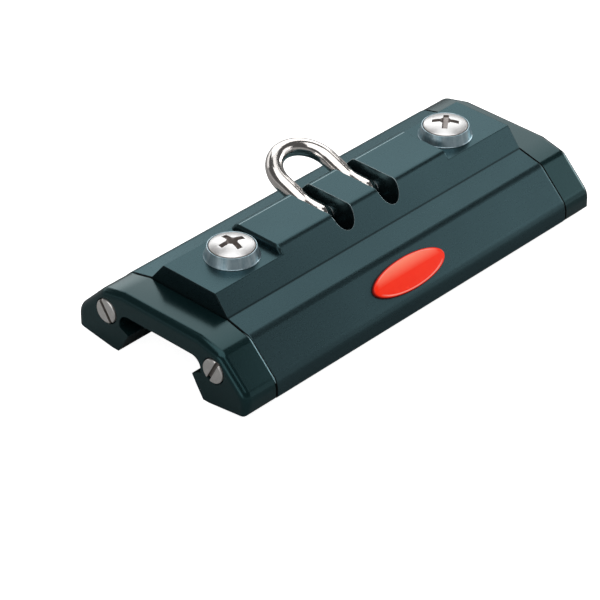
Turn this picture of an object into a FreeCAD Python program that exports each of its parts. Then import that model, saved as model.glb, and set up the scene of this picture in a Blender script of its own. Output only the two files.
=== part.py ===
import FreeCAD, Part
import math
import os

from FreeCAD import Vector

# Mainsheet traveller car with recirculating balls, in millimetres.
# X runs along the rail that the car rides on, Y across it, Z up.
# The origin is under the middle of the car, level with the two long lands that it stands on.
# The front is the -Y side with the badge, and left and right are -X and +X.

# Overall sizes
body_length = 92.0
body_width = 50.0
body_height = 21.0
cap_depth = 8.8

# Outer section of the body
ridge_foot_half = 11.1
ridge_side_angle = 51.6
shoulder_height = 14.8
side_run = 7.6
shoulder_fall_angle = 13.5
side_angle = 45.0
underside_rise_angle = 7.5
land_width = 1.7
ridge_edge_radius = 1.8
shoulder_fold_radius = 3.4
side_fold_radius = 4.2
bottom_edge_radius = 1.5
seam_chamfer = 0.3

# Milled seats at the two ends of the ridge, and the block that stays between them
seat_drop = 1.7
block_end_chamfer = 0.5

# Channel for the rail
rail_head_width = 22.0
rail_head_top = 9.0
rail_side_gap = 1.0
rail_top_gap = 1.0
channel_corner_radius = 2.0
mouth_gap = 1.5
recess_foot_rise = 0.2

# Balls and the races that they run in
ball_diameter = 4.0
ball_clearance = 0.1
ball_row_outset = 0.6
ball_row_drop = 4.1
race_lip_angle = 112.0
race_lip_flat = 0.35
return_row_inset = 5.4
return_row_drop = 0.9
balls_in_turn = 3

# End caps
cap_inset = 0.1
cap_end_radius = 1.8
cap_ceiling_drop = 0.2
cap_opening_radius = 2.6
cap_side_gap = 0.9
nose_reach = 1.7
nose_rise = 0.3
nose_radius = 0.35
nose_root_rise = 1.1
nose_setback = 2.6

# Slotted cheese-head screws that hold the end caps
cap_screw_rise = 3.7
cap_screw_diameter = 3.0
cap_screw_length = 15.5
cap_screw_head_diameter = 5.5
cap_screw_head_height = 2.0
cap_screw_head_round = 0.3
cap_screw_slot_width = 0.9
cap_screw_slot_depth = 0.9
cap_screw_hole_gap = 0.1
counterbore_gap = 0.25
counterbore_depth = 1.6
screw_tip_gap = 0.5
left_front_slot_turn = 28.0
left_rear_slot_turn = -34.5
right_front_slot_turn = 63.0
right_rear_slot_turn = 12.0

# Raised countersunk top screws with a cross recess, each in a conical collar
top_screw_inset = 12.6
top_screw_diameter = 5.0
top_hole_floor = 1.5
top_screw_head_diameter = 10.0
top_screw_dome = 1.2
left_recess_turn = -10.0
right_recess_turn = 37.0
recess_span = 5.9
recess_width = 1.2
recess_depth = 2.6
recess_wall = 1.1
recess_root_span = 2.0
recess_core_top = 1.25
recess_core_root = 0.7
collar_base_diameter = 12.1
collar_top_diameter = 10.9
collar_edge_round = 0.15
collar_block_gap = 0.95

# Bow, the slots that its legs swing in, and its pin
slot_width = 5.8
slot_length = 18.1
leg_half_spacing = 7.05
pivot_drop = 4.7
bar_diameter = 3.95
leg_length = 11.35
eye_radius = 3.3
eye_width = 4.4
neck_start = 1.6
neck_length = 5.4
neck_sink = 0.25
eye_floor_gap = 0.4
rim_gap = 0.2
pin_diameter = 3.0
pin_fit = 0.05
pin_end_margin = 1.5
pin_screw_gap = 0.2

# Oval badge on the front side
badge_length = 22.0
badge_width = 7.3
badge_thickness = 0.9
badge_edge_round = 0.6
badge_shift = -2.2

# Length by which a cutting shape runs past what it cuts
overrun = 1.0

# Stations and slopes that follow from the sizes above
half_length = body_length / 2
half_width = body_width / 2
total_half = half_length + cap_depth
seat_height = body_height - seat_drop
ridge_slope = math.tan(math.radians(ridge_side_angle))
shoulder_slope = math.tan(math.radians(shoulder_fall_angle))
side_slope = math.tan(math.radians(side_angle))
underside_slope = math.tan(math.radians(underside_rise_angle))
ridge_top_half = ridge_foot_half - (body_height - shoulder_height) / ridge_slope
shoulder_half = half_width - side_run
shoulder_edge_height = shoulder_height - (shoulder_half - ridge_foot_half) * shoulder_slope
side_foot_height = shoulder_edge_height - side_run * side_slope
channel_half = rail_head_width / 2 + rail_side_gap
channel_ceiling = rail_head_top + rail_top_gap
mouth_half = rail_head_width / 2 + mouth_gap
land_half = mouth_half + land_width
underside_edge_height = (half_width - land_half) * underside_slope

# Races: where their centres run and where they break out into the channel
ball_radius = ball_diameter / 2
race_radius = ball_radius + ball_clearance
ball_row_half = rail_head_width / 2 + ball_row_outset
ball_row_height = rail_head_top - ball_row_drop
return_row_half = half_width - return_row_inset
return_row_height = ball_row_height - return_row_drop
lip_half = ball_row_half + race_radius * math.cos(math.radians(race_lip_angle))
lip_reach = race_radius * math.sin(math.radians(race_lip_angle)) + race_lip_flat
lip_top = ball_row_height + lip_reach
lip_foot = ball_row_height - lip_reach
nose_half = rail_head_width / 2 - nose_reach
nose_height = ball_row_height + nose_rise

# Cap screws stand over the middle of the balls' turns
cap_screw_half_spacing = (ball_row_half + return_row_half) / 2
cap_screw_height = ball_row_height + cap_screw_rise
cap_screw_seat = total_half - counterbore_depth
cap_half_width = half_width - cap_inset

# Top screws: a countersunk head fills its collar from the seat to the rim, and the hole stays blind
top_screw_half_spacing = half_length - top_screw_inset
block_half = top_screw_half_spacing - collar_base_diameter / 2 - collar_block_gap
top_screw_radius = top_screw_diameter / 2
top_screw_head_radius = top_screw_head_diameter / 2
collar_height = top_screw_head_radius - top_screw_radius
collar_rim_height = seat_height + collar_height
top_hole_foot = channel_ceiling + top_hole_floor
top_screw_tip = top_hole_foot + screw_tip_gap

# Lean of the bow at rest: its legs stop just clear of the rear rim of the slots
pivot_height = body_height - pivot_drop
slot_radius = slot_width / 2
slot_floor = pivot_height - eye_radius - eye_floor_gap
rim_half = slot_length / 2
rim_height = shoulder_height + (ridge_foot_half - rim_half) * ridge_slope
rim_distance = math.hypot(rim_half, rim_height - pivot_height)
rim_angle = math.atan2(rim_height - pivot_height, rim_half)
rest_lean = math.degrees(rim_angle + math.asin((bar_diameter / 2 + rim_gap) / rim_distance))

# Pin: from a blind end beyond one slot to the top screw that closes its bore
pin_start = -(leg_half_spacing + slot_radius + pin_end_margin)
pin_stop = top_screw_half_spacing - top_screw_radius - pin_screw_gap

sides = {"front": -1, "rear": 1}
ends = {"left": -1, "right": 1}
along_rail = Vector(1, 0, 0)


def direction(start, stop):
    """Unit vector between two points, each a (y, z) pair."""
    dy = stop[0] - start[0]
    dz = stop[1] - start[1]
    length = math.hypot(dy, dz)
    return dy / length, dz / length


def rounded_face(corners, x):
    """Flat face across X at station x, through corners (y, z, radius), each rounded by its radius."""
    def at(y, z):
        return Vector(x, y, z)

    edges = []
    starts = []
    stops = []
    for index, (y, z, radius) in enumerate(corners):
        back = direction((y, z), corners[index - 1])
        ahead = direction((y, z), corners[(index + 1) % len(corners)])
        half_angle = math.acos(back[0] * ahead[0] + back[1] * ahead[1]) / 2
        reach = radius / math.tan(half_angle)
        start = (y + back[0] * reach, z + back[1] * reach)
        stop = (y + ahead[0] * reach, z + ahead[1] * reach)
        starts.append(start)
        stops.append(stop)
        if radius > 0:
            inward = direction((y, z), ((start[0] + stop[0]) / 2, (start[1] + stop[1]) / 2))
            nearest = radius / math.sin(half_angle) - radius
            middle = (y + inward[0] * nearest, z + inward[1] * nearest)
            edges.append(Part.Arc(at(*start), at(*middle), at(*stop)).toShape())
    for index, start in enumerate(starts):
        edges.append(Part.LineSegment(at(*stops[index - 1]), at(*start)).toShape())
    return Part.Face(Part.Wire(Part.__sortEdges__(edges)))


def both_halves(half):
    """Closed list of corners from those of the +Y half, taken from top to bottom."""
    return half + [(-y, z, radius) for y, z, radius in reversed(half)]


def along_x(face, length):
    """Solid swept from a face by a length along X."""
    return face.extrude(along_rail * length)


def rod_x(radius, x0, x1, y, z):
    """Round rod along X between two stations, given in either order."""
    low, high = sorted((x0, x1))
    return Part.makeCylinder(radius, high - low, Vector(low, y, z), along_rail)


def box(x0, x1, y0, y1, z0, z1):
    """Box between two corners, each pair of limits given in either order."""
    (x0, x1), (y0, y1), (z0, z1) = sorted((x0, x1)), sorted((y0, y1)), sorted((z0, z1))
    return Part.makeBox(x1 - x0, y1 - y0, z1 - z0, Vector(x0, y0, z0))


def edges_beyond(solid, x, z):
    """Edges that lie wholly beyond a station on X and above a height."""
    margin = 0.01
    return [edge for edge in solid.Edges if edge.BoundBox.XMin > x - margin and edge.BoundBox.ZMin > z - margin]


def edges_across(solid, x, y):
    """Edges that lie in the plane across X at a station, at least y out to either side, the flat foot left out."""
    margin = 0.01
    edges = []
    for edge in solid.Edges:
        limits = edge.BoundBox
        on_plane = limits.XLength < margin and abs(limits.XMin - x) < margin
        outside = limits.YMin > y - margin or limits.YMax < margin - y or y == 0
        if on_plane and outside and limits.ZMax > margin:
            edges.append(edge)
    return edges


def body_section():
    """Outer section of the extrusion, with the channel still filled."""
    half = [
        (ridge_top_half, body_height, ridge_edge_radius),
        (ridge_foot_half, shoulder_height, 0),
        (shoulder_half, shoulder_edge_height, shoulder_fold_radius),
        (half_width, side_foot_height, side_fold_radius),
        (half_width, underside_edge_height, bottom_edge_radius),
        (land_half, 0, 0),
    ]
    return rounded_face(both_halves(half), -half_length)


def channel_section():
    """Section of the channel that takes the rail, open below."""
    half = [
        (channel_half, channel_ceiling, channel_corner_radius),
        (channel_half, lip_top + recess_foot_rise, 0),
        (lip_half, lip_top, 0),
        (lip_half, lip_foot, 0),
        (mouth_half, 0, 0),
        (mouth_half, -overrun, 0),
    ]
    return rounded_face(both_halves(half), -total_half)


def block_end_edges(solid):
    """Edges round the two end faces of the middle block, its foot on the seats left out."""
    margin = 0.01
    edges = []
    for edge in solid.Edges:
        limits = edge.BoundBox
        on_end = limits.XLength < margin and abs(abs(limits.XMin) - block_half) < margin
        if on_end and limits.ZMax > seat_height + margin:
            edges.append(edge)
    return edges


def slot_cutter(x):
    """Space milled for one leg of the bow: a long hole with round ends, cut from above."""
    depth = body_height + overrun - slot_floor
    straight = rim_half - slot_radius
    cutter = box(x - slot_radius, x + slot_radius, -straight, straight, slot_floor, slot_floor + depth)
    for y in (-straight, straight):
        cutter = cutter.fuse(Part.makeCylinder(slot_radius, depth, Vector(x, y, slot_floor)))
    return cutter.removeSplitter()


def make_body():
    """Extruded body: ridge, milled seats, slots, channel, races and every bore."""
    solid = along_x(body_section(), body_length)
    for sign in ends.values():
        solid = solid.cut(box(sign * block_half, sign * total_half, -half_width, half_width,
                              seat_height, body_height + overrun))
    solid = solid.makeChamfer(block_end_chamfer, block_end_edges(solid))
    for sign in ends.values():
        solid = solid.makeChamfer(seam_chamfer, edges_across(solid, sign * half_length, ridge_foot_half))
    cutters = [along_x(channel_section(), 2 * total_half)]
    for side in sides.values():
        cutters.append(rod_x(race_radius, -total_half, total_half, side * ball_row_half, ball_row_height))
        cutters.append(rod_x(race_radius, -total_half, total_half, side * return_row_half, return_row_height))
        for sign in ends.values():
            cutters.append(rod_x(cap_screw_diameter / 2,
                                 sign * (cap_screw_seat - cap_screw_length - screw_tip_gap), sign * total_half,
                                 side * cap_screw_half_spacing, cap_screw_height))
    for sign in ends.values():
        cutters.append(slot_cutter(sign * leg_half_spacing))
        cutters.append(Part.makeCylinder(top_screw_radius, body_height - top_hole_foot,
                                         Vector(sign * top_screw_half_spacing, 0, top_hole_foot)))
    cutters.append(rod_x(pin_diameter / 2, pin_start, total_half, 0, pivot_height))
    return solid.cut(cutters).removeSplitter()


def cap_section(lower_half):
    """Outer section of an end cap: the body's own without its ridge, set in, over the given lower corners."""
    fall = math.radians(shoulder_fall_angle)
    side = math.radians(side_angle)
    top = shoulder_height - cap_inset
    crest_half = ridge_foot_half - cap_inset * math.tan(fall / 2)
    edge_half = shoulder_half - cap_inset * math.tan((side + fall) / 2) * math.cos(fall)
    edge_height = top - (edge_half - crest_half) * shoulder_slope
    half = [
        (crest_half, top, 0),
        (edge_half, edge_height, shoulder_fold_radius),
        (cap_half_width, edge_height - (cap_half_width - edge_half) * side_slope, side_fold_radius),
    ]
    return rounded_face(both_halves(half + lower_half), half_length)


def cap_outside():
    """Outside of an end cap: its end is rounded over the top and down both sides, and its feet end square."""
    split = (side_foot_height + underside_edge_height) / 2
    upper = along_x(cap_section([(cap_half_width, -overrun, 0)]), cap_depth)
    upper = upper.makeFillet(cap_end_radius, edges_beyond(upper, total_half, 0))
    upper = upper.common(box(half_length, total_half, -half_width, half_width, split, body_height))
    foot = [
        (cap_half_width, (cap_half_width - land_half) * underside_slope, bottom_edge_radius),
        (land_half, 0, 0),
    ]
    plan = box(half_length, total_half, -cap_half_width, cap_half_width, -overrun, split)
    corners = [edge for edge in edges_beyond(plan, total_half, -overrun) if edge.BoundBox.ZLength > overrun]
    lower = along_x(cap_section(foot), cap_depth).common(plan.makeFillet(cap_end_radius, corners))
    return upper.fuse(lower).removeSplitter()


def cap_opening_section():
    """Section of the hole in an end cap, with the noses that reach under the rail's head."""
    wall = rail_head_width / 2 + cap_side_gap
    half = [
        (wall, channel_ceiling - cap_ceiling_drop, cap_opening_radius),
        (wall, nose_height + nose_root_rise, 0),
        (nose_half, nose_height, nose_radius),
        (lip_half, lip_foot, 0),
        (mouth_half, 0, 0),
        (mouth_half, -overrun, 0),
    ]
    return rounded_face(both_halves(half), half_length - overrun)


def turn_frame(side):
    """Middle, radius and inward direction of the half circle that joins a race to its return bore."""
    load = Vector(half_length, side * ball_row_half, ball_row_height)
    back = Vector(half_length, side * return_row_half, return_row_height)
    across = (load - back) * 0.5
    radius = across.Length
    return (load + back) * 0.5, radius, across.normalize()


def turn_passage(side):
    """Half ring cut in the right-hand cap for the balls to turn round in."""
    middle, radius, across = turn_frame(side)
    ring = Part.makeTorus(radius, race_radius, middle, across.cross(along_rail))
    joint_overlap = 0.01
    return ring.common(box(half_length - joint_overlap, total_half, -half_width, half_width, 0, body_height))


def make_cap():
    """Right-hand end cap, moulded in one piece. The left-hand one is its mirror image."""
    solid = cap_outside()
    solid = solid.makeChamfer(seam_chamfer, edges_across(solid, half_length, 0))
    cutters = [along_x(cap_opening_section(), cap_depth + 2 * overrun)]
    for side in sides.values():
        y = side * cap_screw_half_spacing
        cutters.append(rod_x(cap_screw_diameter / 2 + cap_screw_hole_gap,
                             half_length - overrun, total_half, y, cap_screw_height))
        cutters.append(rod_x(cap_screw_head_diameter / 2 + counterbore_gap,
                             cap_screw_seat, total_half + overrun, y, cap_screw_height))
        cutters.append(turn_passage(side))
        cutters.append(box(half_length - overrun, half_length + nose_setback,
                           side * (nose_half - overrun), side * lip_half, lip_foot, lip_top))
    return solid.cut(cutters)


def cap_screw(end, side, turn):
    """Slotted cheese-head screw that holds an end cap."""
    y = sides[side] * cap_screw_half_spacing
    z = cap_screw_height
    face = cap_screw_seat + cap_screw_head_height
    head = rod_x(cap_screw_head_diameter / 2, cap_screw_seat, face, y, z)
    head = head.makeFillet(cap_screw_head_round, edges_beyond(head, face, 0))
    shank = rod_x(cap_screw_diameter / 2, cap_screw_seat - cap_screw_length, cap_screw_seat, y, z)
    slot = box(face - cap_screw_slot_depth, face + overrun,
               y - cap_screw_slot_width / 2, y + cap_screw_slot_width / 2,
               z - cap_screw_head_diameter, z + cap_screw_head_diameter)
    slot.rotate(Vector(face, y, z), along_rail, turn)
    screw = head.fuse(shank).removeSplitter().cut(slot)
    if end == "left":
        screw = screw.mirror(Vector(0, 0, 0), along_rail)
    return screw


def cross_recess():
    """Cross recess with its mouth at the origin: two crossed slots that narrow downwards, and a core."""
    outline = [
        Vector(-recess_span / 2, -recess_width / 2, overrun),
        Vector(recess_span / 2, -recess_width / 2, overrun),
        Vector(recess_span / 2, -recess_width / 2, -recess_wall),
        Vector(recess_root_span / 2, -recess_width / 2, -recess_depth),
        Vector(-recess_root_span / 2, -recess_width / 2, -recess_depth),
        Vector(-recess_span / 2, -recess_width / 2, -recess_wall),
    ]
    arm = Part.Face(Part.makePolygon(outline + outline[:1])).extrude(Vector(0, recess_width, 0))
    crossing = arm.copy()
    crossing.rotate(Vector(0, 0, 0), Vector(0, 0, 1), 90)
    core = Part.makeCone(recess_core_top, recess_core_root, recess_depth, Vector(0, 0, 0), Vector(0, 0, -1))
    return arm.fuse([crossing, core])


def top_screw(x, turn):
    """Raised countersunk screw that stands on a milled seat in its collar."""
    head = Part.makeCone(top_screw_radius, top_screw_head_radius, collar_height, Vector(x, 0, seat_height))
    shank = Part.makeCylinder(top_screw_radius, seat_height - top_screw_tip, Vector(x, 0, top_screw_tip))
    crown = collar_rim_height + top_screw_dome
    dome_radius = (top_screw_head_radius ** 2 + top_screw_dome ** 2) / (2 * top_screw_dome)
    dome = Part.makeSphere(dome_radius, Vector(x, 0, crown - dome_radius))
    dome = dome.common(box(x - dome_radius, x + dome_radius, -dome_radius, dome_radius,
                           collar_rim_height, crown + overrun))
    recess = cross_recess()
    recess.rotate(Vector(0, 0, 0), Vector(0, 0, 1), turn)
    recess.translate(Vector(x, 0, crown))
    return head.fuse([shank, dome]).removeSplitter().cut(recess)


def collar(x):
    """Conical collar, countersunk for the head of a top screw."""
    seat = Vector(x, 0, seat_height)
    solid = Part.makeCone(collar_base_diameter / 2, collar_top_diameter / 2, collar_height, seat)
    solid = solid.makeFillet(collar_edge_round, edges_beyond(solid, -total_half, collar_rim_height))
    return solid.cut(Part.makeCone(top_screw_radius, top_screw_head_radius, collar_height, seat))


def forged_eye():
    """Eye of the bow round the origin, with a neck along Y: turned in one piece and flattened on both cheeks."""
    shoulder = Vector(math.sqrt(eye_radius ** 2 - neck_start ** 2), neck_start, 0)
    halfway = Vector(eye_radius * math.sqrt(0.5), -eye_radius * math.sqrt(0.5), 0)
    pole = Vector(0, -eye_radius, 0)
    tip = Vector(0, neck_length, 0)
    tip_rim = Vector(bar_diameter / 2 - neck_sink, neck_length, 0)
    outline = Part.Wire([
        Part.Arc(pole, halfway, shoulder).toShape(),
        Part.LineSegment(shoulder, tip_rim).toShape(),
        Part.LineSegment(tip_rim, tip).toShape(),
        Part.LineSegment(tip, pole).toShape(),
    ])
    solid = Part.Face(outline).revolve(Vector(0, 0, 0), Vector(0, 1, 0), 360)
    return solid.common(box(-eye_width / 2, eye_width / 2, -eye_radius, neck_length, -eye_radius, eye_radius))


def make_bow():
    """Bow bent from round bar, with a necked eye forged on each leg, leaning at rest towards the rear."""
    left = Vector(-leg_half_spacing, 0, 0)
    right = Vector(leg_half_spacing, 0, 0)
    along = Vector(0, leg_length, 0)
    crown = Vector(0, leg_length + leg_half_spacing, 0)
    path = Part.Wire([
        Part.LineSegment(right, right + along).toShape(),
        Part.Arc(right + along, crown, left + along).toShape(),
        Part.LineSegment(left + along, left).toShape(),
    ])
    section = Part.Wire(Part.Circle(right, Vector(0, 1, 0), bar_diameter / 2).toShape())
    bow = path.makePipeShell([section], True, False)
    eye = forged_eye()
    for foot in (left, right):
        bow = bow.fuse(eye.translated(foot))
    reach = leg_half_spacing + eye_width
    bow = bow.cut(rod_x(pin_diameter / 2 + pin_fit, -reach, reach, 0, 0))
    bow.rotate(Vector(0, 0, 0), along_rail, rest_lean)
    bow.translate(Vector(0, 0, pivot_height))
    return bow


def ball_row(y, z):
    """Straight row of balls as long as the body, with a running gap between neighbours."""
    count = int(body_length / (ball_diameter + ball_clearance))
    pitch = body_length / count
    stations = [-half_length + pitch * (index + 0.5) for index in range(count)]
    return Part.makeCompound([Part.makeSphere(ball_radius, Vector(x, y, z)) for x in stations])


def turning_balls(end, side):
    """Balls on their way round the half circle in one corner of an end cap."""
    middle, radius, across = turn_frame(sides[side])
    balls = []
    for index in range(balls_in_turn):
        angle = math.pi * (index + 0.5) / balls_in_turn
        place = middle + across * (radius * math.cos(angle)) + along_rail * (radius * math.sin(angle))
        balls.append(Part.makeSphere(ball_radius, Vector(ends[end] * place.x, place.y, place.z)))
    return Part.makeCompound(balls)


def make_badge():
    """Domed oval badge, bare, in the middle of the front side face."""
    outline = Part.Wire(Part.Ellipse(Vector(0, 0, 0), badge_length / 2, badge_width / 2).toShape())
    solid = Part.Face(outline).extrude(Vector(0, 0, badge_thickness))
    solid = solid.makeFillet(badge_edge_round, edges_beyond(solid, -badge_length, badge_thickness))
    solid.rotate(Vector(0, 0, 0), along_rail, side_angle)
    solid.translate(Vector(badge_shift, -(shoulder_half + half_width) / 2,
                           (shoulder_edge_height + side_foot_height) / 2))
    return solid


slot_turns = {
    ("left", "front"): left_front_slot_turn,
    ("left", "rear"): left_rear_slot_turn,
    ("right", "front"): right_front_slot_turn,
    ("right", "rear"): right_rear_slot_turn,
}
recess_turns = {"left": left_recess_turn, "right": right_recess_turn}
right_cap = make_cap()
parts = {
    "car_body": make_body(),
    "end_cap_right": right_cap,
    "end_cap_left": right_cap.mirror(Vector(0, 0, 0), along_rail),
    "shackle_bow": make_bow(),
    "shackle_pin": rod_x(pin_diameter / 2, pin_start, pin_stop, 0, pivot_height),
    "badge": make_badge(),
}
for end, sign in ends.items():
    parts["top_screw_" + end] = top_screw(sign * top_screw_half_spacing, recess_turns[end])
    parts["conical_collar_" + end] = collar(sign * top_screw_half_spacing)
for side, sign in sides.items():
    parts["load_balls_" + side] = ball_row(sign * ball_row_half, ball_row_height)
    parts["return_balls_" + side] = ball_row(sign * return_row_half, return_row_height)
for (end, side), turn in slot_turns.items():
    parts[f"cap_screw_{end}_{side}"] = cap_screw(end, side, turn)
    parts[f"turn_balls_{end}_{side}"] = turning_balls(end, side)

os.makedirs("parts", exist_ok=True)
for name, shape in parts.items():
    shape.exportStep("parts/" + name + ".step")
    print(f"{name}: {len(shape.Solids)} solid(s), {shape.Volume:.1f} mm3, valid {shape.isValid()}")
print(f"the bow leans {rest_lean:.2f} degrees above level at rest")
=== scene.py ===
# %% [markdown]
# A mainsheet traveller car: a dark anodised extrusion with black moulded end caps, a polished bow
# and bright screws. The CAD model already has every shape at its true size. This lesson dresses it:
# it breaks the sharp edges, forges the bow in one piece, gives each finish a procedural material,
# and sets up a plain studio with a long lens.

# %% Load the CAD frame
import bmesh
import bpy
import math
from mathutils import Matrix, Vector


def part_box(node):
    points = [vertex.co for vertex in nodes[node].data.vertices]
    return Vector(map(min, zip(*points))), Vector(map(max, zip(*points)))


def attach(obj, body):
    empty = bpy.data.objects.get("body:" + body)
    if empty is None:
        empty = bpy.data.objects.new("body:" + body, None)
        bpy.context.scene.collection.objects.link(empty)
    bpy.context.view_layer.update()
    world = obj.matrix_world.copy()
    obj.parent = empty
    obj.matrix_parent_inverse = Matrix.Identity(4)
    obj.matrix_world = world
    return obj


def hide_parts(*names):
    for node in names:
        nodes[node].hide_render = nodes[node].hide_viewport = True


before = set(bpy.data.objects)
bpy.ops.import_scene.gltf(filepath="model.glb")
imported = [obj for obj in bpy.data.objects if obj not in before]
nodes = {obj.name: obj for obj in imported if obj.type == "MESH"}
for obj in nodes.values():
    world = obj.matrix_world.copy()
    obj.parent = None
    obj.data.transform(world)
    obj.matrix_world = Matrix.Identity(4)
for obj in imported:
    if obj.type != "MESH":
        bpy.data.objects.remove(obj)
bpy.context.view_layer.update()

mm = 0.001

# %% [markdown]
# The camera comes first, because every later choice is judged through it. The picture was made
# with a long lens, so the parallel edges of the car hardly converge. The camera is placed by its
# direction round the car, its distance, and how far the car sits from the middle of the frame. The
# three numbers of the aim are the camera's shift to its right, its shift up, and a height.

# %% Camera
camera_azimuth = math.radians(-46.48)
camera_elevation = math.radians(34.17)
camera_distance = 643.4 * mm
focal_length = 178.1
sensor_width = 36
aim = Vector((-8.95, -8.56, 2.0)) * mm

right = Vector((math.cos(camera_azimuth), math.sin(camera_azimuth), 0))
back = Vector((math.sin(camera_azimuth) * math.cos(camera_elevation),
               -math.cos(camera_azimuth) * math.cos(camera_elevation),
               math.sin(camera_elevation)))
up = back.cross(right)
lens = bpy.data.cameras.new("long_lens")
lens.sensor_width = sensor_width
lens.lens = focal_length
lens.clip_start = 0.05
lens.clip_end = 20
camera = bpy.data.objects.new("camera", lens)
bpy.context.scene.collection.objects.link(camera)
camera.matrix_world = Matrix((right, up, back)).transposed().to_4x4()
camera.location = right * aim.x + up * aim.y + back * camera_distance + Vector((0, 0, aim.z))
bpy.context.scene.camera = camera
bpy.context.scene.view_settings.view_transform = "Standard"
print("camera at", [round(v, 4) for v in camera.location])

# %% [markdown]
# Shader maths reads best as plain arithmetic. A small class holds one socket of a node graph, and
# its operators add Math nodes, so that 1 - mask or grain * 0.2 can be written as they are said.

# %% A socket that can be calculated with
class Wire:
    """One output socket of a node graph, with arithmetic that adds Math nodes to it."""

    def __init__(self, graph, socket):
        self.graph = graph
        self.socket = socket

    def math(self, operation, *others):
        return self.graph.add("ShaderNodeMath", {"operation": operation},
                              dict(enumerate((self, *others))))

    def __add__(self, other):
        return self.math("ADD", other)

    __radd__ = __add__

    def __mul__(self, other):
        return self.math("MULTIPLY", other)

    __rmul__ = __mul__

    def __sub__(self, other):
        return self.math("SUBTRACT", other)

    def __rsub__(self, other):
        return self.graph.add("ShaderNodeMath", {"operation": "SUBTRACT"}, {0: other, 1: self})

    def clamp(self):
        return self.graph.add("ShaderNodeClamp", {}, {"Value": self})

    def length(self):
        """The length of a vector."""
        return self.graph.add("ShaderNodeVectorMath", {"operation": "LENGTH"}, {0: self}, "Value")

    def split(self):
        """The X, Y and Z of a vector."""
        x = self.graph.add("ShaderNodeSeparateXYZ", {}, {"Vector": self})
        return [Wire(self.graph, socket) for socket in x.socket.node.outputs]


# %% [markdown]
# A node graph has one method for nodes. It takes the node's type, its settings, and what goes into
# its sockets. A finish is the graph of a material with a Principled shader. Numbers that are the
# same all over the surface are set on the shader itself, so that they survive an export.

# %% A graph, a finish and their nodes
class Graph:
    """A node tree that is built up node by node."""

    def __init__(self, tree):
        self.tree = tree

    def add(self, kind, settings, values, output=0):
        node = self.tree.nodes.new(kind)
        for name, value in settings.items():
            if name == "stops":
                self.set_stops(node.color_ramp, value)
            else:
                setattr(node, name, value)
        for name, value in values.items():
            if isinstance(value, Wire):
                self.tree.links.new(value.socket, node.inputs[name])
            else:
                node.inputs[name].default_value = value
        return Wire(self, node.outputs[output])

    @staticmethod
    def set_stops(ramp, stops):
        while len(ramp.elements) < len(stops):
            ramp.elements.new(0.5)
        for element, (position, level) in zip(ramp.elements, stops):
            element.position = position
            element.color = (level, level, level, 1)

    def ramp(self, value, *stops):
        """Grey levels between stops, each of which is a position and the level there."""
        return self.add("ShaderNodeValToRGB", {"stops": stops}, {"Fac": value})


class Finish(Graph):
    """A procedural material on a Principled shader."""

    def __init__(self, name, **constants):
        self.material = bpy.data.materials.new(name)
        self.material.use_nodes = True
        super().__init__(self.material.node_tree)
        self.shader = self.tree.nodes["Principled BSDF"]
        for socket, value in constants.items():
            self.shader.inputs[socket.replace("_", " ")].default_value = value

    def object_space(self):
        """Object coordinates. Every piece lies at the origin, so they are the whole car's."""
        return self.add("ShaderNodeTexCoord", {}, {}, "Object")

    def place(self, scale=(1, 1, 1), centre=(0, 0, 0)):
        """Object coordinates, moved to a centre and stretched."""
        centred = self.add("ShaderNodeVectorMath", {"operation": "SUBTRACT"}, {
            0: self.object_space(), 1: centre})
        return self.add("ShaderNodeMapping", {}, {"Vector": centred, "Scale": scale})

    def noise(self, vector, scale, detail=2.0, roughness=0.5):
        return self.add("ShaderNodeTexNoise", {}, {
            "Vector": vector, "Scale": scale, "Detail": detail, "Roughness": roughness})

    def blend(self, factor, first, second):
        return self.add("ShaderNodeMix", {"data_type": "RGBA"}, {
            "Factor": factor, 6: first, 7: second}, 2)

    def feed(self, socket, wire):
        self.tree.links.new(wire.socket, self.shader.inputs[socket])

    def bump(self, height, strength, distance):
        normal = self.add("ShaderNodeBump", {}, {
            "Height": height, "Strength": strength, "Distance": distance})
        self.feed("Normal", normal)


# %% [markdown]
# The extrusion is hard anodised: a dark blue-green grey with a satin sheen. On the real metal the
# film follows a blasted surface, so it shows a very fine grain, and the drawing of the profile
# leaves faint lines along its length. Two noises give those: one even in all directions and one
# stretched along X. A third, much larger one lets the tone drift a little from place to place. The
# two inner corners at the foot of the ridge get painted shade, a nearly black line in the colour.
# A noise lies round one half, so half of its weight is taken off a roughness again.

# %% Anodised extrusion
ridge_foot_half = 11.1 * mm
ridge_foot_height = 14.8 * mm
corner_width = 0.4 * mm
corner_flatness = 0.6
corner_shade_strength = 0.75
# painted shade: the colour of the line along the inner corners
painted_corner_shade = (0.004, 0.008, 0.009, 1)


def corner_shade_line(finish):
    """One along the inner corners at the foot of the ridge, where shade is painted, and nothing
    elsewhere.
    """
    _, y, z = finish.object_space().split()
    across = (y.math("ABSOLUTE") - ridge_foot_half).math("ABSOLUTE")
    above = (z - ridge_foot_height).math("ABSOLUTE")
    away = across.math("MAXIMUM", above * corner_flatness)
    return finish.ramp(away * (1 / corner_width), (0.2, 1), (0.6, 0))


def anodised_finish(name, dark, light, roughness):
    finish = Finish(name, Metallic=0.86, Specular_Tint=(0.80, 0.96, 1.0, 1))
    drift = finish.noise(finish.place(), scale=45)
    grain = finish.noise(finish.place(), scale=3200, roughness=0.6)
    drawn = finish.noise(finish.place(scale=(40, 2600, 2600)), scale=1, detail=3)
    shade = (drift * 0.5 + grain * 0.35 + drawn * 0.15).clamp()
    tone = finish.blend(finish.ramp(shade, (0.3, 0), (0.7, 1)), dark, light)
    # painted shade darkens the inner corners at the foot of the ridge
    corners = corner_shade_line(finish) * corner_shade_strength
    finish.feed("Base Color", finish.blend(corners, tone, painted_corner_shade))
    finish.feed("Roughness", (grain * 0.1 + drawn * 0.06 + (roughness - 0.08)).clamp())
    finish.bump(grain * 0.7 + drawn * 0.3, strength=0.35, distance=0.006 * mm)
    return finish.material


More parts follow.
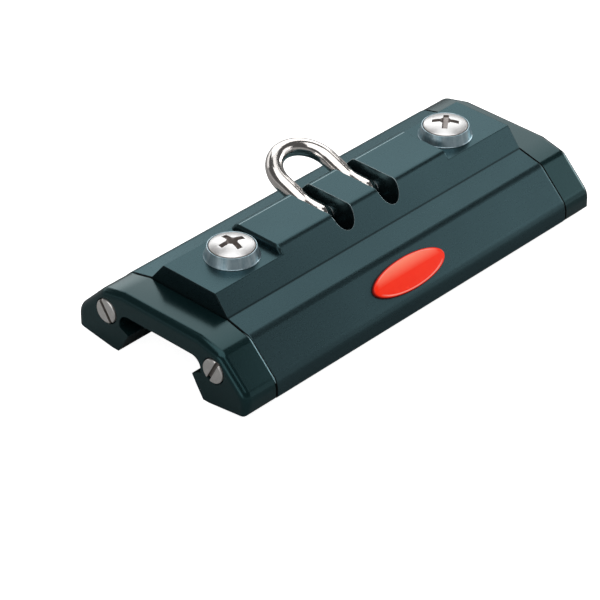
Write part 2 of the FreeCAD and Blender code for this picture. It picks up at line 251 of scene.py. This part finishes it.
anodised = anodised_finish("hard_anodised", roughness=0.29,
                           dark=(0.032, 0.063, 0.071, 1), light=(0.043, 0.083, 0.093, 1))
# lighter bare metal: real at the slot rims, a painted highlight along the rear crest
bare_edge_and_highlight = anodised_finish("deburred_edge_and_painted_highlight", roughness=0.34,
                            dark=(0.27, 0.35, 0.37, 1), light=(0.38, 0.46, 0.48, 1))
print("finishes:", anodised.name, bare_edge_and_highlight.name)

# %% [markdown]
# The end caps are moulded in black acetal. It is smoother than the metal, so it mirrors the room
# more sharply, with the slight waviness of a moulded face and a very fine grain. Plain plastic
# mirrors without a tint of its own. The blue-green tint here is fitted to the picture.

# %% Moulded plastic
def moulded_finish():
    finish = Finish("black_acetal", IOR=1.62, Specular_IOR_Level=0.45,
                    Specular_Tint=(0.40, 0.88, 0.95, 1))
    wave = finish.noise(finish.place(), scale=160)
    grain = finish.noise(finish.place(), scale=2600, roughness=0.6)
    dark = (0.003, 0.011, 0.012, 1)
    light = (0.005, 0.016, 0.017, 1)
    finish.feed("Base Color", finish.blend(wave * 0.7 + grain * 0.3, dark, light))
    finish.feed("Roughness", (grain * 0.03 + wave * 0.04 + 0.17).clamp())
    finish.bump(wave, strength=0.10, distance=0.02 * mm)
    return finish.material


acetal = moulded_finish()
print("finish:", acetal.name)

# %% [markdown]
# Where a cap meets the body, both are chamfered, so the seam is a small groove. Its faces are matt
# and painted nearly black, which is painted shade in the groove. On the upright sides a thin light
# line along the joint is a painted highlight. It fades out above and below, and it is weaker at
# the right seam.

# %% Painted shade and highlight in the seams
seam_station = 46.0 * mm
seam_highlight_width = 0.13 * mm
seam_highlight_foot = 5.2 * mm
seam_highlight_top = 12.6 * mm
seam_highlight_fade = 0.9
# painted highlight: the colour of the thin light line along the joint
painted_seam_highlight = (0.52, 0.78, 0.84, 1)
right_highlight_level = 0.4
body_reach = 92.0 * mm


def seam_shade_and_highlight_finish():
    finish = Finish("painted_seam_shade_and_highlight", Specular_IOR_Level=0.1)
    groove_mottle = finish.noise(finish.place(), scale=1500, detail=3)
    # painted shade: the groove's nearly black colour
    painted_groove_shade = finish.blend(groove_mottle, (0.001, 0.002, 0.002, 1), (0.004, 0.006, 0.006, 1))
    along, _, height = finish.object_space().split()
    from_joint = (along.math("ABSOLUTE") - seam_station).math("ABSOLUTE")
    near_joint = finish.ramp(from_joint * (1 / seam_highlight_width), (0.8, 1), (1.0, 0))
    above_foot = finish.ramp((height - seam_highlight_foot) * (1 / mm), (0.0, 0), (seam_highlight_fade, 1))
    below_top = finish.ramp((height - seam_highlight_top) * (1 / mm), (0.0, 1), (seam_highlight_fade, 0))
    left_more = finish.ramp(along * (1 / body_reach) + 0.5, (0.4, 1), (0.6, right_highlight_level))
    # where the painted highlight lies along the joint
    seam_highlight = near_joint * above_foot * below_top * left_more
    finish.feed("Base Color", finish.blend(seam_highlight, painted_groove_shade, painted_seam_highlight))
    finish.feed("Roughness", (groove_mottle * 0.2 + 0.6 - seam_highlight * 0.25).clamp())
    finish.bump(groove_mottle, strength=0.2, distance=0.01 * mm)
    return finish.material


seam_shade_and_highlight = seam_shade_and_highlight_finish()
print("finish:", seam_shade_and_highlight.name)

# %% [markdown]
# The bow, its pin and the top screws are stainless steel. The bow is polished after it is forged:
# a nearly clean mirror of a slightly warm grey, with fine hairlines and a trace of waviness. The
# screw heads are tumbled, so their mirror is softer. The recess of a head and the ring round its
# edge are duller, and their darker steel is painted shade.

# %% Stainless steel
def steel_finish(name, colour, roughness, hairlines, metallic=1.0, waviness=0.3, fineness=1.0):
    finish = Finish(name, Metallic=metallic)
    stretched = finish.place(scale=(300, 2200, 2200))
    lines = finish.noise(stretched, scale=fineness, detail=4, roughness=0.6)
    wave = finish.noise(finish.place(), scale=260)
    patch = finish.noise(finish.place(), scale=520, detail=3)
    darker = tuple(0.86 * v for v in colour[:3]) + (1,)
    finish.feed("Base Color", finish.blend(patch * 0.6 + lines * 0.4, darker, colour))
    finish.feed("Roughness", (lines * hairlines + patch * 0.05 + roughness - 0.03).clamp())
    finish.bump(wave * 0.85 + lines * 0.15, strength=waviness, distance=0.02 * mm)
    return finish.material


# painted shade: a darker, duller steel for the recesses and the ring round each head
recess_shade_steel = steel_finish("recess_steel_painted_shade", (0.50, 0.46, 0.44, 1), roughness=0.45, hairlines=0.10,
                        metallic=0.8)
polished = steel_finish("polished_stainless", (0.93, 0.885, 0.85, 1), roughness=0.12,
                        hairlines=0.03, waviness=0.06, fineness=3.0)
tumbled = steel_finish("tumbled_stainless", (0.92, 0.915, 0.91, 1), roughness=0.28, hairlines=0.10,
                       metallic=0.72)
print("finishes:", recess_shade_steel.name, polished.name, tumbled.name)

# %% [markdown]
# The four cap screws are turned on a lathe and their flat faces keep its rings. The rings run
# round each screw's own axis, so the pattern is made from the distance to that axis.

# %% Turned screw faces
rings_per_metre = 9000


def turned_finish(name, axis_y, axis_z):
    finish = Finish(name, Metallic=0.85)
    distance = finish.place(scale=(0, 1, 1), centre=(0, axis_y, axis_z)).length()
    rings = finish.add("ShaderNodeTexNoise", {"noise_dimensions": "1D"}, {
        "W": distance * rings_per_metre, "Scale": 1.0, "Detail": 3.0})
    grain = finish.noise(finish.place(), scale=1400, detail=3, roughness=0.65)
    dark = (0.60, 0.585, 0.56, 1)
    light = (1.0, 0.985, 0.96, 1)
    finish.feed("Base Color", finish.blend(grain * 0.6 + rings * 0.4, dark, light))
    finish.feed("Roughness", (grain * 0.12 + rings * 0.08 + 0.22).clamp())
    finish.bump(rings * 0.4 + grain * 0.6, strength=0.6, distance=0.03 * mm)
    return finish.material


# %% [markdown]
# The conical collars are turned metal with a clear satin skin, bluer here than bare aluminium, to
# suit the picture. Their flanks show soft streaks that run up and down, because the light breaks
# on tool marks. A streak depends almost only on the angle round the collar's axis, so that angle,
# from Arctan2, drives a noise.

# %% Turned collars
streaks_per_radian = 5.0
streaks_per_metre = 60.0


def collar_finish(name, axis_x):
    finish = Finish(name, Metallic=0.75)
    x, y, z = finish.place(centre=(axis_x, 0, 0)).split()
    angle = y.math("ARCTAN2", x)
    around = finish.add("ShaderNodeCombineXYZ", {}, {
        "X": angle * streaks_per_radian, "Y": z * streaks_per_metre})
    streaks = finish.noise(around, scale=1.0, detail=3, roughness=0.6)
    grain = finish.noise(finish.place(), scale=1800, detail=3, roughness=0.6)
    tone = finish.ramp(streaks * 0.75 + grain * 0.25, (0.36, 0), (0.64, 1))
    dark = (0.28, 0.41, 0.47, 1)
    light = (0.52, 0.64, 0.69, 1)
    finish.feed("Base Color", finish.blend(tone, dark, light))
    finish.feed("Roughness", (streaks * 0.12 + grain * 0.04 + 0.22).clamp())
    finish.bump(grain, strength=0.1, distance=0.004 * mm)
    return finish.material


# %% [markdown]
# The badge is a drop of red resin. It has a dark outline, which is painted shade, and a thin light
# line inside that along its long sides and a paler upper half, which are painted highlights. The
# reflections of this studio don't make them, so they are colours, laid out by an oval distance
# from the badge's middle that is one at its edge. A Mapping node of the Texture kind measures it in
# the badge's own leaning plane, as it undoes the place, then the turn, then the size. The resin
# gives off a little of its own colour, a painted glow, to keep the red as bright as it should be,
# and a thin clear coat on the shader gives the gloss.

# %% Resin badge
badge_centre = Vector((-2.2, -21.2, 9.4875)) * mm
badge_half_length = 11.0 * mm
badge_half_width = 3.65 * mm
badge_thickness = 0.9 * mm
badge_lean = math.radians(45)
end_allowance = 0.45 * mm
# painted highlight and painted shade colours of the badge
painted_highlight_red = (1.0, 0.36, 0.24, 1)
painted_line_red = (1.0, 0.42, 0.34, 1)
line_highlight_strength = 0.6
painted_outline_shade = (0.07, 0.004, 0.004, 1)


def resin_finish():
    finish = Finish("red_resin", Roughness=0.3, Coat_Weight=0.12, Coat_Roughness=0.05, IOR=1.4,
                    Specular_IOR_Level=0.12, Emission_Strength=0.32)
    flat = finish.add("ShaderNodeMapping", {"vector_type": "TEXTURE"}, {
        "Vector": finish.object_space(), "Location": badge_centre, "Rotation": (badge_lean, 0, 0),
        "Scale": (badge_half_length + end_allowance, badge_half_width, 1)})
    distance = flat.length()
    _, uphill, _ = flat.split()
    cloud = finish.noise(finish.place(), scale=700)
    middle = finish.blend(cloud, (0.84, 0.022, 0.006, 1), (0.92, 0.034, 0.010, 1))
    # painted highlight: the paler upper half
    upper_highlight = finish.ramp(uphill, (0.05, 0), (0.95, 0.75))
    inside = finish.ramp(distance, (0.83, 1), (0.87, 0))
    middle = finish.blend(upper_highlight * inside, middle, painted_highlight_red)
    # painted highlight: the thin light line along the long sides
    edge_highlight = finish.ramp(distance, (0.84, 0), (0.865, 1), (0.895, 1), (0.92, 0))
    long_sides = finish.ramp(uphill.math("ABSOLUTE"), (0.25, 0), (0.6, 1))
    middle = finish.blend(edge_highlight * long_sides * line_highlight_strength, middle, painted_line_red)
    # painted shade: the dark outline
    outline = finish.ramp(distance, (0.93, 0), (0.965, 1))
    colour = finish.blend(outline, middle, painted_outline_shade)
    finish.feed("Base Color", colour)
    # painted glow: the resin gives off its own colour
    finish.feed("Emission Color", colour)
    finish.bump(cloud, strength=0.08, distance=0.01 * mm)
    return finish.material


resin = resin_finish()
print("finish:", resin.name)

# %% [markdown]
# The balls are plain moulded plastic, hidden in their races. From below or from the ends a few of
# them show, so they too get a grain and a soft sheen.

# %% Ball plastic
def ball_finish():
    finish = Finish("ball_plastic", IOR=1.5)
    mottle = finish.noise(finish.place(), scale=900, detail=3)
    finish.feed("Base Color", finish.blend(mottle, (0.50, 0.47, 0.40, 1), (0.64, 0.61, 0.53, 1)))
    finish.feed("Roughness", (mottle * 0.15 + 0.28).clamp())
    finish.bump(mottle, strength=0.1, distance=0.01 * mm)
    return finish.material


ball_skin = ball_finish()
print("finish:", ball_skin.name)

# %% [markdown]
# A CAD edge is perfectly sharp, and a real one never is: it is tumbled or scraped, and the tiny
# round catches the light as a thin bright line. A CAD node's mesh is never touched, so a copy of
# it is merged, its flat faces are joined, and its sharp edges get a small bevel. Weighted normals
# then keep the big flats flat and let only the rounds turn.

# %% Pieces from CAD nodes with their edges broken
merge_distance = 0.002 * mm
flat_angle = 0.4
clear_turn = 28
own_finish = -1
second_finish = 1


def finished_mesh(name, shape):
    """The mesh of a bmesh, which is freed."""
    mesh = bpy.data.meshes.new(name)
    shape.to_mesh(mesh)
    shape.free()
    return mesh


def add_piece(name, mesh, body, slot, *finishes):
    """Puts a mesh on its body with its finishes. Its slot argument is not used."""
    piece = bpy.data.objects.new(name, mesh)
    bpy.context.scene.collection.objects.link(piece)
    for finish in finishes:
        mesh.materials.append(finish)
    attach(piece, body)
    return piece


def finish_shading(piece, sharp_angle=34):
    """Smooth shading with flats kept flat, and real corners kept sharp."""
    mesh = piece.data
    mesh.shade_smooth()
    mesh.set_sharp_from_angle(angle=math.radians(sharp_angle))
    weighted = piece.modifiers.new("flats_stay_flat", "WEIGHTED_NORMAL")
    weighted.mode = "FACE_AREA"
    weighted.weight = 80
    weighted.keep_sharp = True


def merged_copy(node, join_flats):
    """A bmesh of a CAD node with its loose triangles merged and, if wanted, its flats joined."""
    shape = bmesh.new()
    shape.from_mesh(nodes[node].data)
    bmesh.ops.remove_doubles(shape, verts=shape.verts, dist=merge_distance)
    if join_flats:
        bmesh.ops.dissolve_limit(shape, angle_limit=math.radians(flat_angle),
                                 verts=shape.verts, edges=shape.edges)
    return shape


def break_edges(shape, wanted, least_turn, width, material):
    """Bevels the convex edges that a test picks and that turn by more than some degrees."""
    edges = []
    for edge in shape.edges:
        outward = len(edge.link_faces) == 2 and edge.is_convex
        if outward and edge.calc_face_angle() > math.radians(least_turn):
            if wanted is None or wanted(edge):
                edges.append(edge)
    bmesh.ops.bevel(shape, geom=edges, offset=width, offset_type="OFFSET", segments=3, profile=0.5,
                    affect="EDGES", clamp_overlap=False, material=material)
    return len(edges)


def broken_piece(name, node, body, slot, bands, *finishes, last_finish_on=None):
    """A copy of a CAD node with its edges broken, in place of that node.

    Each band is a test that picks edges, or None for all of them, the least turn in degrees, the
    width and the finish of the break. A test for faces can give some of them the last finish."""
    shape = merged_copy(node, join_flats=bool(bands))
    count = 0
    for band in bands:
        count += break_edges(shape, *band)
    shape.normal_update()
    for face in shape.faces:
        if last_finish_on and last_finish_on(face):
            face.material_index = len(finishes) - 1
    mesh = finished_mesh(name, shape)
    for layer in ("custom_normal", "sharp_edge", "sharp_face"):
        if layer in mesh.attributes:
            mesh.attributes.remove(mesh.attributes[layer])
    piece = add_piece(name, mesh, body, slot, *finishes)
    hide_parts(node)
    finish_shading(piece)
    print(f"{name}: {count} edges broken, {len(mesh.polygons)} faces")


# %% [markdown]
# The body is the long extrusion with its milled seats and slots. Only the outer edges are broken:
# the races and the channel keep their sharp lips, because nobody scrapes those. On the rims of the
# slots the scraper went through the film, so their breaks show bare metal. Along the rear crest of
# the ridge a very thin break gets the same lighter metal, which is a painted highlight.

# %% Body
channel_half = 12.6 * mm
channel_ceiling = 10.6 * mm
edge_break = 0.14 * mm
rim_break = 0.10 * mm
slot_middle = 7.05 * mm
slot_reach = 2.95 * mm
slot_rim_foot = channel_ceiling + 3 * mm
middle_strip = 0.5 * mm
# painted highlight: the width of the thin line of lighter metal along the rear crest
crest_highlight_width = 0.07 * mm
crest_turn = 2
crest_foot = 20.95 * mm
crest_side = 5.32 * mm
crest_tolerance = 0.05 * mm
seam_half = 0.27 * mm


def on_slot_rim(edge):
    """Edges where the slots open, apart from those close to the car's middle line."""
    return all(abs(abs(v.co.x) - slot_middle) < slot_reach and v.co.z > slot_rim_foot
               and abs(v.co.y) > middle_strip for v in edge.verts)


def outside_channel(edge):
    """Edges outside the channel that aren't on the rim of a slot."""
    outside = all(abs(v.co.y) > channel_half or v.co.z > channel_ceiling for v in edge.verts)
    return outside and not on_slot_rim(edge)


def in_seam(face):
    """Faces of the chamfers that make the groove between the body and a cap."""
    middle = face.calc_center_median()
    slanted = 0.3 < abs(face.normal.x) < 0.95
    return abs(abs(middle.x) - seam_station) < seam_half and slanted


def on_rear_crest(edge):
    return all(v.co.z > crest_foot and abs(v.co.y - crest_side) < crest_tolerance
               for v in edge.verts)


body_bands = [(on_slot_rim, clear_turn, rim_break, second_finish),
              (outside_channel, clear_turn, edge_break, own_finish),
              (on_rear_crest, crest_turn, crest_highlight_width, second_finish)]
broken_piece("body_extrusion", "car_body", "car", "anodised_body", body_bands,
             anodised, bare_edge_and_highlight, seam_shade_and_highlight, last_finish_on=in_seam)

# %% [markdown]
# The end caps are mouldings, so their edges come out of the tool with a small radius already. The
# CAD solids have it, so no edge is broken here.

# %% End caps
for end in ("left", "right"):
    broken_piece("moulded_cap_" + end, "end_cap_" + end, "car", "black_plastic", [],
                 acetal, seam_shade_and_highlight, last_finish_on=in_seam)

# %% [markdown]
# The top screws have raised countersunk heads with a cross recess. The recess comes from the CAD
# solid and gets the duller steel with painted shade, and so does the round along the head's edge.
# The recess lies below the head's dome, which is how its faces are told from the others.

# %% Top screws
screw_half_spacing = 33.4 * mm
dome_top = 23.0 * mm
dome_radius = 11.02 * mm
head_radius = 5.0 * mm
head_foot = 21 * mm
head_tolerance = 0.1 * mm
inner_radius = 4.6 * mm
recess_radius = 3.2 * mm
recess_foot = 19 * mm
recess_depth = 0.06 * mm
head_break = 0.22 * mm
small_break = 0.08 * mm


def from_axis(point):
    """The distance of a point from the axis of the nearer top screw."""
    return math.hypot(abs(point.x) - screw_half_spacing, point.y)


def on_head_rim(edge):
    return all(v.co.z > head_foot and abs(from_axis(v.co) - head_radius) < head_tolerance
               for v in edge.verts)


def clear_of_head_rim(edge):
    return all(from_axis(v.co) < inner_radius for v in edge.verts)


def in_recess(face):
    """Faces of the cross recess, which lie below the head's dome."""
    middle = face.calc_center_median()
    radius = from_axis(middle)
    if radius > recess_radius or middle.z < recess_foot:
        return False
    dome = dome_top - dome_radius + math.sqrt(dome_radius ** 2 - radius ** 2)
    return middle.z < dome - recess_depth


head_bands = [(on_head_rim, clear_turn, head_break, second_finish),
              (clear_of_head_rim, clear_turn, small_break, own_finish)]
for end in ("left", "right"):
    broken_piece("raised_screw_" + end, "top_screw_" + end, "car", "stainless", head_bands,
                 tumbled, recess_shade_steel, last_finish_on=in_recess)

# %% [markdown]
# Each top screw sits in a conical collar, which is a simple turned part. Its half section is drawn
# with a few points and spun round the screw's axis: a foot ledge, the leaning flank, a rounded rim,
# and the bore inside.

# %% Turned collars under the top screws
collar_steps = 96
collar_sharp_angle = 50
flank_lean = 0.78 * mm
bore_wall = 3.5 * mm
bore_depth = 2.3 * mm


def spun_mesh(name, profile, axis_x):
    """Turns a closed profile of (radius, height) points round an upright axis."""
    shape = bmesh.new()
    ring = [shape.verts.new((axis_x + radius, 0, height)) for radius, height in profile]
    edges = [shape.edges.new((ring[index - 1], vert)) for index, vert in enumerate(ring)]
    bmesh.ops.spin(shape, geom=ring + edges, cent=(axis_x, 0, 0), axis=(0, 0, 1),
                   angle=2 * math.pi, steps=collar_steps, use_merge=True)
    bmesh.ops.remove_doubles(shape, verts=shape.verts, dist=0.0005 * mm)
    bmesh.ops.recalc_face_normals(shape, faces=shape.faces)
    return finished_mesh(name, shape)


for end in ("left", "right"):
    low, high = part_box("conical_collar_" + end)
    axis_x = (low.x + high.x) / 2
    base = (high.x - low.x) / 2
    top = base - flank_lean
    profile = [
        (base - bore_wall, low.z),
        (base - 0.03 * mm, low.z),
        (base, low.z + 0.03 * mm),
        (base, low.z + 0.12 * mm),
        (base - 0.05 * mm, low.z + 0.18 * mm),
        (base - 0.19 * mm, low.z + 0.25 * mm),
        (top + 0.01 * mm, high.z - 0.07 * mm),
        (top - 0.01 * mm, high.z - 0.015 * mm),
        (top - 0.06 * mm, high.z),
        (top - 0.15 * mm, high.z),
        (top - 0.20 * mm, high.z - 0.05 * mm),
        (top - 0.24 * mm, high.z - 0.70 * mm),
        (base - bore_wall, high.z - bore_depth),
    ]
    mesh = spun_mesh("turned_collar_" + end, profile, axis_x)
    collar = add_piece("turned_collar_" + end, mesh, "car", "collar_metal",
                       collar_finish("collar_skin_" + end, axis_x))
    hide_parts("conical_collar_" + end)
    finish_shading(collar, collar_sharp_angle)
    print(collar.name, len(mesh.polygons), "faces")

# %% [markdown]
# The cap screws are slotted cheese heads. Each has its own turned finish, centred on its axis, and
# a darker steel in its slot, which is painted shade.

# %% Cap screws
slot_depth = 0.9 * mm
slot_mouth = 0.12 * mm
slot_radius = 2.6 * mm
# painted shade: the faces inside each slot get a darker steel
slot_shade_steel = steel_finish("slot_steel_painted_shade", (0.36, 0.33, 0.31, 1), roughness=0.45, hairlines=0.10,
                         metallic=0.8)


def slot_test(low, high):
    """A test for the faces inside the driving slot of a screw with a given box."""
    outer = max(abs(low.x), abs(high.x))
    axis_y, axis_z = (low.y + high.y) / 2, (low.z + high.z) / 2

    def in_slot(face):
        middle = face.calc_center_median()
        depth = outer - abs(middle.x)
        radius = math.hypot(middle.y - axis_y, middle.z - axis_z)
        return slot_mouth < depth < slot_depth and radius < slot_radius

    return in_slot


for end in ("left", "right"):
    for side in ("front", "rear"):
        node = f"cap_screw_{end}_{side}"
        low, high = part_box(node)
        skin = turned_finish("turned_steel_" + end + "_" + side,
                             (low.y + high.y) / 2, (low.z + high.z) / 2)
        broken_piece(f"cheese_screw_{end}_{side}", node, "car", "stainless",
                     [(None, clear_turn, small_break, own_finish)],
                     skin, slot_shade_steel, last_finish_on=slot_test(low, high))

# %% [markdown]
# The bow is forged from one bar, so its legs flow into the eyes without a line. The CAD solid joins
# a bent bar and two eyes, which meet in a crease. A voxel remesh turns the copy into an even skin.
# It works on a copy enlarged from metres to millimetres. Smoothing then lets the crease run out, as
# a forging die would. It would also thin the round bar and close the holes, so it works only near
# the eyes, leaves the pin's holes alone, and reaches less far in each round, so that it fades out.

# %% Forged bow
enlarge = 1000.0
voxel = 0.16
smoothing_rounds = 60
smoothing_factor = 0.5
first_reach = 9.0 * mm
last_reach = 5.0 * mm
hole_margin = 0.6 * mm


def remeshed(name, mesh):
    """A copy of a mesh as an even skin of small quads."""
    holder = bpy.data.objects.new(name + "_raw", mesh)
    bpy.context.scene.collection.objects.link(holder)
    remesh = holder.modifiers.new("even_skin", "REMESH")
    remesh.mode = "VOXEL"
    remesh.voxel_size = voxel
    evaluated = holder.evaluated_get(bpy.context.evaluated_depsgraph_get())
    even = bpy.data.meshes.new_from_object(evaluated)
    bpy.data.objects.remove(holder)
    return even


def run_out_crease(shape):
    """Smooths the skin round the eyes, but not at the pin's holes."""
    low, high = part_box("shackle_pin")
    pin_y, pin_z = (low.y + high.y) / 2, (low.z + high.z) / 2
    clear_of_hole = (high.y - low.y) / 2 + hole_margin
    for step in range(smoothing_rounds):
        reach = first_reach + (last_reach - first_reach) * step / smoothing_rounds
        near_eyes = [vert for vert in shape.verts
                     if clear_of_hole < math.hypot(vert.co.y - pin_y, vert.co.z - pin_z) < reach]
        bmesh.ops.smooth_vert(shape, verts=near_eyes, factor=smoothing_factor,
                              use_axis_x=True, use_axis_y=True, use_axis_z=True)


def forged_mesh(name, node):
    shape = merged_copy(node, join_flats=False)
    bmesh.ops.scale(shape, vec=(enlarge,) * 3, verts=shape.verts)
    even = remeshed(name, finished_mesh(name, shape))
    shape = bmesh.new()
    shape.from_mesh(even)
    bmesh.ops.scale(shape, vec=(1 / enlarge,) * 3, verts=shape.verts)
    run_out_crease(shape)
    shape.to_mesh(even)
    shape.free()
    even.name = name
    return even


mesh = forged_mesh("forged_bow", "shackle_bow")
bow = add_piece("forged_bow", mesh, "bow", "stainless", polished)
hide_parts("shackle_bow")
mesh.shade_smooth()
print(bow.name, len(mesh.polygons), "faces")

# %% [markdown]
# The badge is modelled where it lies flat, then leaned over onto the side of the car. A circle is
# stretched to the oval, raised to a short wall, and its top is stepped inwards along a quarter
# round. From there the face is raised and shrunk towards the middle in steps for the low crown,
# down to a small last ring, because a face can't shrink to nothing.

# %% Badge
badge_segments = 144
badge_sharp_angle = 45
badge_wall = 0.28 * mm
round_width = 0.50 * mm
round_rise = 0.42 * mm
round_steps = 6
crown_steps = 8
last_ring = 0.0125


def badge_mesh(name):
    shape = bmesh.new()
    bmesh.ops.create_circle(shape, cap_ends=True, segments=badge_segments, radius=1)
    bmesh.ops.scale(shape, vec=(badge_half_length, badge_half_width, 1), verts=shape.verts)
    bottom = next(iter(shape.faces))
    if bottom.normal.z < 0:
        bottom.normal_flip()
    face = bmesh.ops.extrude_discrete_faces(shape, faces=[bottom])["faces"][0]
    bmesh.ops.translate(shape, vec=(0, 0, badge_wall), verts=face.verts)
    for step in range(round_steps):
        before = math.pi / 2 * step / round_steps
        after = math.pi / 2 * (step + 1) / round_steps
        run = round_width * (math.cos(before) - math.cos(after))
        rise = round_rise * (math.sin(after) - math.sin(before))
        bmesh.ops.inset_region(shape, faces=[face], thickness=run, depth=0, use_even_offset=True)
        bmesh.ops.translate(shape, vec=(0, 0, rise), verts=face.verts)
    crown = badge_thickness - badge_wall - round_rise
    for step in range(crown_steps):
        before = 1 - step / crown_steps
        after = max(1 - (step + 1) / crown_steps, last_ring)
        rise = crown * (before ** 2 - after ** 2)
        bmesh.ops.inset_individual(shape, faces=[face], thickness=0, depth=0)
        bmesh.ops.scale(shape, vec=(after / before, after / before, 1), verts=face.verts)
        bmesh.ops.translate(shape, vec=(0, 0, rise), verts=face.verts)
    lean = Matrix.Rotation(badge_lean, 3, "X")
    bmesh.ops.rotate(shape, cent=(0, 0, 0), matrix=lean, verts=shape.verts)
    bmesh.ops.translate(shape, vec=badge_centre, verts=shape.verts)
    return finished_mesh(name, shape)


mesh = badge_mesh("domed_badge")
badge = add_piece("domed_badge", mesh, "car", "badge_red", resin)
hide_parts("badge")
finish_shading(badge, badge_sharp_angle)
print(badge.name, len(mesh.polygons), "faces")

# %% [markdown]
# What is left of the CAD model keeps its own meshes and only gets its finish: the pin across the
# slots and the balls in their races.

# %% Finishes for the CAD nodes that stay
kept = [name for name in nodes if "balls" in name or name == "shackle_pin"]
for name in kept:
    materials = nodes[name].data.materials
    materials.clear()
    materials.append(ball_skin if "balls" in name else tumbled)
print("dressed:", kept)

# %% [markdown]
# The studio is plain: a pale floor and an empty room. The camera sees both of them white, by Is
# Camera Ray. Surfaces see a room that is grey at the horizon and darker overhead, and reflections
# see the floor darker than it is. Polished and satin metal needs something dark to mirror, or its
# folds and rims wouldn't stand out against the white.

# %% Floor and room
floor_half = 6
floor_gap = 0.2 * mm
floor_grey = (0.80, 0.80, 0.80, 1)
mirrored_grey = (0.32, 0.32, 0.32, 1)
white = (1, 1, 1, 1)
black = (0, 0, 0, 1)
horizon_level = 0.45
ceiling_level = 0.08
ceiling_start = 0.36


def pale_floor():
    finish = Finish("pale_floor", Roughness=0.9, Specular_IOR_Level=0.1, Emission_Strength=0.95)
    glossy = finish.add("ShaderNodeLightPath", {}, {}, "Is Glossy Ray")
    seen = finish.add("ShaderNodeLightPath", {}, {}, "Is Camera Ray")
    finish.feed("Base Color", finish.blend(glossy, floor_grey, mirrored_grey))
    finish.feed("Emission Color", finish.blend(seen, black, white))
    return finish.material


def empty_room():
    """White to the camera, and to everything else grey at the horizon and darker overhead."""
    room = bpy.data.worlds.new("room")
    room.use_nodes = True
    graph = Graph(room.node_tree)
    graph.tree.nodes.remove(graph.tree.nodes["Background"])
    _, _, height = graph.add("ShaderNodeTexCoord", {}, {}, "Generated").split()
    level = graph.ramp(height, (0.0, horizon_level), (ceiling_start, ceiling_level))
    greys = graph.add("ShaderNodeBackground", {}, {"Color": level, "Strength": 1.0})
    plain = graph.add("ShaderNodeBackground", {}, {"Color": white, "Strength": 1.0})
    seen = graph.add("ShaderNodeLightPath", {}, {}, "Is Camera Ray")
    choice = graph.add("ShaderNodeMixShader", {}, {0: seen, 1: greys, 2: plain})
    graph.tree.links.new(choice.socket, graph.tree.nodes["World Output"].inputs["Surface"])
    return room


shape = bmesh.new()
bmesh.ops.create_grid(shape, x_segments=1, y_segments=1, size=floor_half)
mesh = finished_mesh("floor", shape)
mesh.materials.append(pale_floor())
floor = bpy.data.objects.new("floor", mesh)
bpy.context.scene.collection.objects.link(floor)
floor.location.z = -floor_gap
bpy.context.scene.world = empty_room()
print("floor:", floor.name, "room:", bpy.context.scene.world.name)

# %% [markdown]
# Eight soft lights stand round the car, and the camera doesn't see them. The two strong ones, at
# the back on the right and above, light the tops. The smaller ones each put a soft line or patch
# where the picture shows one, on the end faces, the rolls of the caps, the screws and the bow.

# %% Soft lights
def soft_light(name, toward, distance, width, height, power):
    """A rectangular light of some watts, in a direction from the car and facing it."""
    lamp = bpy.data.lights.new(name, "AREA")
    lamp.shape = "RECTANGLE"
    lamp.size = width
    lamp.size_y = height
    lamp.energy = power
    light = bpy.data.objects.new(name, lamp)
    bpy.context.scene.collection.objects.link(light)
    direction = Vector(toward).normalized()
    light.rotation_mode = "QUATERNION"
    light.rotation_quaternion = direction.to_track_quat("Z", "Y")
    light.location = direction * distance
    light.visible_camera = False
    print(name, "at", [round(v, 3) for v in light.location])


soft_light("soft_light_back", (0.60, 0.54, 0.55), 1.10, 0.97, 0.85, 3.95)
soft_light("soft_light_front", (0.86, -0.46, 0.24), 0.75, 0.87, 0.34, 0.40)
soft_light("soft_light_side", (0.95, -0.20, 0.20), 0.75, 0.30, 0.24, 1.0)
soft_light("soft_light_left", (-0.97, -0.10, 0.17), 0.75, 0.50, 0.22, 0.36)
soft_light("soft_light_corner", (0.70, -0.53, 0.47), 0.47, 0.22, 0.16, 0.12)
soft_light("soft_light_rear", (0.12, 0.94, 0.33), 0.80, 0.75, 0.30, 0.6)
soft_light("soft_light_above", (-0.24, -0.18, 0.95), 0.75, 0.84, 0.84, 3.2)
soft_light("soft_light_bridge", (0.28, 0.22, 0.93), 0.75, 0.34, 0.34, 0.38)
